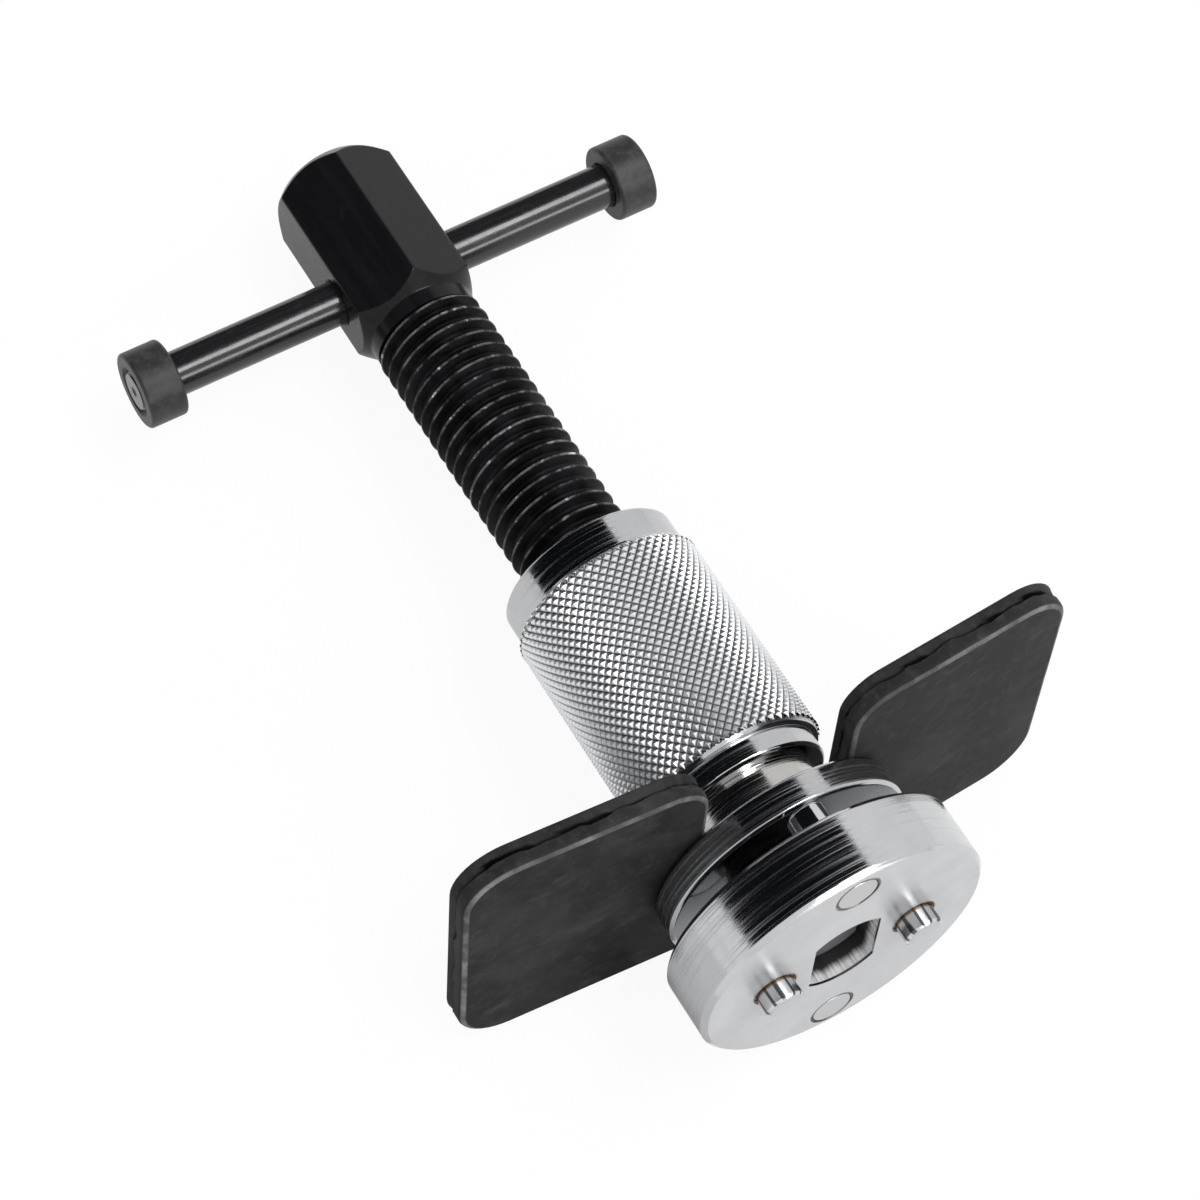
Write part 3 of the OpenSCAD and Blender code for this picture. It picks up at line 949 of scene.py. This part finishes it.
class PISTON_TOOL_OT_adapter(bpy.types.Operator):
    """Build the adapter disc and its four pins"""
    bl_idname = "piston_tool.adapter"
    bl_label = "Pin Adapter"

    def hole(self, x, z, radius, seam, thickness):
        """A through hole with a fine countersink at both ends."""
        past = MM
        wide = radius + seam + past
        return turned(((0, -past), (wide, -past), (radius, seam), (radius, thickness - seam),
                       (wide, thickness + past), (0, thickness + past)), Vector((x, 0, z)))

    def disc(self, sizes, places):
        radius = DISC_HIGH.x
        back = DISC_HIGH.y
        chamfer = sizes.chamfer
        bm = turned(((0, 0), (radius - chamfer, 0), (radius, chamfer), (radius, back - chamfer),
                     (radius - chamfer, back), (0, back)), steps=144)
        soften(bm, [edge for edge in sharp_edges(bm) if radial(edge.verts[0].co) > radius/2], DISC_BREAK, 2)
        socket = two_flat_shape(sizes.socket_radius, sizes.socket_flat, -MM, back + MM)
        bm = combined(bm, socket, "DIFFERENCE")
        for x, z in places:
            bm = combined(bm, self.hole(x, z, SHANK, sizes.seam, back), "DIFFERENCE")
        return bm

    def pin(self, sizes, x, z, flush, face, tip):
        """A pin: flush end, pressed shank, shoulder level with a face, slimmer stud and chamfered tip."""
        out = math.copysign(1, tip - face)
        clearance = 0.02*MM
        shank = SHANK - clearance
        seam = sizes.seam
        stud = sizes.stud
        bm = turned(((0, flush), (shank - seam, flush), (shank, flush + out*seam),
                     (shank, face - out*2*seam), (stud, face - out*seam), (stud, tip - out*sizes.tip),
                     (stud - sizes.tip, tip), (0, tip)), Vector((x, 0, z)))
        rim = [edge for edge in sharp_edges(bm)
               if round_the_axis(edge) and abs(edge.verts[0].co.y - tip) < sizes.tip*1.1]
        soften(bm, rim, PIN_BREAK, 2)
        return bm

    def execute(self, context):
        sizes = context.scene.piston_tool_adapter
        plating = tuple(sizes.plating)
        stain = tuple(sizes.stain)
        back = DISC_HIGH.y
        side = (FRONT_PIN_LOW.x + FRONT_PIN_HIGH.x)/2
        height = (REAR_PIN_LOW.z + REAR_PIN_HIGH.z)/2
        places = ((-side, 0), (side, 0), (0, height), (0, -height))
        disc_finish = plated_disc(plating, places, stain, sizes.socket_radius)
        finish_piece("turned_adapter_disc", self.disc(sizes, places), disc_finish,
                     "adapter_body", "adapter_disc")
        front_tip = FRONT_PIN_LOW.y
        rear_tip = REAR_PIN_HIGH.y
        pin_finish = plated_pins(shade(plating, 1.1), stain, front_tip, side)
        for name, node, x, z, flush, face, tip in (
                ("left_drive_pin", "front_pin_left", -side, 0, back, 0, front_tip),
                ("right_drive_pin", "front_pin_right", side, 0, back, 0, front_tip),
                ("top_rear_pin", "rear_pin_top", 0, height, 0, back, rear_tip),
                ("bottom_rear_pin", "rear_pin_bottom", 0, -height, 0, back, rear_tip)):
            finish_piece(name, self.pin(sizes, x, z, flush, face, tip), pin_finish,
                         "adapter_body", node)
        return {"FINISHED"}


# The lamps: name, place, width, height, power in watts, and whether reflections show it
LAMPS = (("softbox_right", (0.68, 0.45, 0.46), 0.7, 0.87, 1.8, False),
         ("strip_overhead", (0.25, -0.137, 0.765), 0.5, 0.2, 3.2, True),
         ("softbox_front", (0.22, -0.72, 0.4), 0.6, 0.2, 2.4, True))
LAMP_AIM = Vector((0, 60*MM, 0))

# Where the camera aims: a place along the axis, then a little to the right and down in its picture
CAMERA_AIM = Vector((0, 67.888*MM, 0))
AIM_RIGHT = 0.26*MM
AIM_DOWN = 2.11*MM

# The dark sheet over the stage, painted shade that only reflections show: its radius, a point on its lower
# rim, the rim's lean, and where it ends on the right
OVERHEAD_SHADE_RADIUS = 1.6
OVERHEAD_SHADE_RIM = (0, 0, 1.07)
OVERHEAD_SHADE_LEAN = (0, 1.12, 1)
OVERHEAD_SHADE_END = 0.72

# How bright the floor looks in the picture and in reflections, and the light that the world gives
FLOOR_IN_VIEW = 0.93
FLOOR_MIRRORED = 0.6
WORLD_LIGHT = 0.72


class PISTON_TOOL_OT_stage(bpy.types.Operator):
    """Lay out the floor, lamps, the dark sheet overhead and the grey sheet on the floor (both painted shade
    that only reflections show), and camera
    """
    bl_idname = "piston_tool.stage"
    bl_label = "Stage"

    def flat_sheet(self, name, half_width, half_length, centre):
        """A sheet on the plane that touches the disc's back rim and the bottom corner of the head."""
        scene = bpy.context.scene
        rest_front = Vector((0, DISC_HIGH.y - scene.piston_tool_adapter.chamfer, DISC_LOW.z))
        rest_back = Vector((0, SCREW_HIGH.y - scene.piston_tool_screw.end_chamfer, SCREW_LOW.z))
        run = rest_back - rest_front
        tilt = Matrix.Rotation(math.atan2(run.z, run.y), 4, "X")
        size = Matrix.Diagonal((half_width, half_length, 1, 1))
        place = Matrix.Translation(rest_front) @ tilt @ Matrix.Translation(centre) @ size
        bm = bmesh.new()
        bmesh.ops.create_grid(bm, x_segments=4, y_segments=4, size=1, matrix=place)
        sheet = add_object(name, bm)
        return sheet

    def dull_coat(self, sheet, tone, rough, gloss):
        """Gives a sheet a plain dull material and returns its nodes."""
        coat = Coat("dull_" + sheet.name)
        sheet.data.materials.append(coat.surface({"Base Color": (*tone, 1.0), "Roughness": rough,
                                                  "Specular IOR Level": gloss}))
        return coat

    def floor(self, look):
        """A pale floor, white where it is seen directly."""
        floor = self.flat_sheet("floor", 4, 4, (0, 0, -0.08*MM))
        coat = self.dull_coat(floor, look.floor, 0.9, 0.1)
        paper = Value(coat, coat.shader.outputs[0])
        white = coat.add("ShaderNodeEmission")
        seen = self.seen_directly(coat, FLOOR_IN_VIEW, FLOOR_MIRRORED)
        mixed = coat.add("ShaderNodeMixShader", None, {0: seen, 1: paper, 2: white})
        coat.feed(coat.tree.nodes["Material Output"], {0: mixed})

    def seen_directly(self, nodes, in_view, mirrored):
        """A value: in_view for camera rays, mirrored for glossy and transmission rays, 0 for the rest."""
        rays = ("Is Camera Ray", "Is Glossy Ray", "Is Transmission Ray")
        direct, glossy, through = nodes.add("ShaderNodeLightPath", output=rays)
        larger = direct.math("MAXIMUM", direct*in_view, glossy*mirrored)
        return direct.math("MAXIMUM", larger, through*mirrored)

    def world(self):
        """A white world, brighter in the picture and in reflections than in the light that it gives."""
        world = bpy.data.worlds.new("studio")
        bpy.context.scene.world = world
        world.use_nodes = True
        nodes = Nodes(world.node_tree)
        strength = self.seen_directly(nodes, 1 - WORLD_LIGHT, 1 - WORLD_LIGHT) + WORLD_LIGHT
        nodes.feed(world.node_tree.nodes["Background"], {"Color": (1, 1, 1, 1), "Strength": strength})

    def overhead_shade_sheet(self):
        """A dark sheet over the stage that only reflections show, painted shade in them, lower behind than
        in front and open on the right.
        """
        bm = bmesh.new()
        bmesh.ops.create_uvsphere(bm, u_segments=64, v_segments=32, radius=OVERHEAD_SHADE_RADIUS)
        bmesh.ops.bisect_plane(bm, geom=whole(bm), dist=MERGE, plane_co=OVERHEAD_SHADE_RIM, plane_no=OVERHEAD_SHADE_LEAN,
                               clear_inner=True)
        bmesh.ops.bisect_plane(bm, geom=whole(bm), dist=MERGE, plane_co=SIDEWAYS*OVERHEAD_SHADE_END,
                               plane_no=SIDEWAYS, clear_outer=True)
        overhead_sheet = add_object("overhead_shade_sheet", bm)
        # Painted shade: this sheet is seen only in reflections
        self.only_mirrored(overhead_sheet, (0.008, 0.009, 0.012))

    def floor_shade_sheet(self):
        """A grey sheet on the floor left of the disc that only reflections show: a painted shadow of the
        floor beside the disc.
        """
        floor_sheet = self.flat_sheet("floor_shade_sheet", 0.165, 0.045, (-0.185, 0.005, 0.3*MM))
        # Painted shadow: seen only in reflections, it darkens the disc's left side
        self.only_mirrored(floor_sheet, (0.65, 0.65, 0.66))

    def only_mirrored(self, sheet, tone):
        """Gives a sheet a dull tone and hides it from all but reflections."""
        self.dull_coat(sheet, tone, 1.0, 0.0)
        for ray in ("camera", "diffuse", "transmission", "shadow"):
            setattr(sheet, "visible_" + ray, False)

    def lamp(self, name, place, width, height, power, mirrored):
        """An area lamp, which shows in reflections or only lights."""
        data = bpy.data.lights.new(name, "AREA")
        data.shape = "RECTANGLE"
        data.size = width
        data.size_y = height
        data.energy = power
        lamp = bpy.data.objects.new(name, data)
        lamp.location = place
        lamp.visible_glossy = mirrored
        lamp.rotation_euler = (LAMP_AIM - Vector(place)).to_track_quat("-Z", "Y").to_euler()
        bpy.context.scene.collection.objects.link(lamp)

    def camera(self, look):
        """The camera at the photograph's angle, aimed a little beside the tool's middle."""
        data = bpy.data.cameras.new("camera")
        data.sensor_width = 36
        data.lens = look.lens
        data.clip_start = 0.01
        camera = bpy.data.objects.new("camera", data)
        turn = (Matrix.Rotation(look.azimuth, 4, "Z")
                @ Matrix.Rotation(math.pi/2 - look.elevation, 4, "X")
                @ Matrix.Rotation(look.roll, 4, "Z"))
        shift = Matrix.Translation((AIM_RIGHT, -AIM_DOWN, look.distance))
        camera.matrix_world = Matrix.Translation(CAMERA_AIM) @ turn @ shift
        bpy.context.scene.collection.objects.link(camera)
        bpy.context.scene.camera = camera

    def execute(self, context):
        look = context.scene.piston_tool_stage
        self.floor(look)
        self.world()
        self.overhead_shade_sheet()
        self.floor_shade_sheet()
        for lamp in LAMPS:
            self.lamp(*lamp)
        self.camera(look)
        context.scene.view_settings.view_transform = "Standard"
        return {"FINISHED"}


class PISTON_TOOL_PT_pieces(bpy.types.Panel):
    """Lists the pieces of the piston tool"""
    bl_idname = "PISTON_TOOL_PT_pieces"
    bl_label = "Piston Tool"
    bl_space_type = "VIEW_3D"
    bl_region_type = "UI"
    bl_category = "Piston Tool"

    def draw(self, context):
        for operator in OPERATORS:
            self.layout.operator(operator.bl_idname)


OPERATORS = (PISTON_TOOL_OT_thrust_screw, PISTON_TOOL_OT_handle, PISTON_TOOL_OT_knurled_nut,
             PISTON_TOOL_OT_reaction_plate, PISTON_TOOL_OT_adapter, PISTON_TOOL_OT_stage)
GROUPS = {"piston_tool_screw": ScrewSizes, "piston_tool_handle": HandleSizes, "piston_tool_nut": NutSizes,
          "piston_tool_plate": PlateSizes, "piston_tool_adapter": AdapterSizes,
          "piston_tool_stage": StageLook}


def register():
    for group in GROUPS.values():
        bpy.utils.register_class(group)
    for name, group in GROUPS.items():
        setattr(bpy.types.Scene, name, PointerProperty(type=group))
    for cls in (*OPERATORS, PISTON_TOOL_PT_pieces):
        bpy.utils.register_class(cls)


def unregister():
    for cls in (PISTON_TOOL_PT_pieces, *reversed(OPERATORS)):
        bpy.utils.unregister_class(cls)
    for name in GROUPS:
        delattr(bpy.types.Scene, name)
    for group in GROUPS.values():
        bpy.utils.unregister_class(group)


def main():
    register()
    bpy.ops.piston_tool.stage()
    bpy.ops.piston_tool.thrust_screw()
    bpy.ops.piston_tool.handle()
    bpy.ops.piston_tool.knurled_nut()
    bpy.ops.piston_tool.reaction_plate()
    bpy.ops.piston_tool.adapter()


if __name__ == "__main__":
    main()
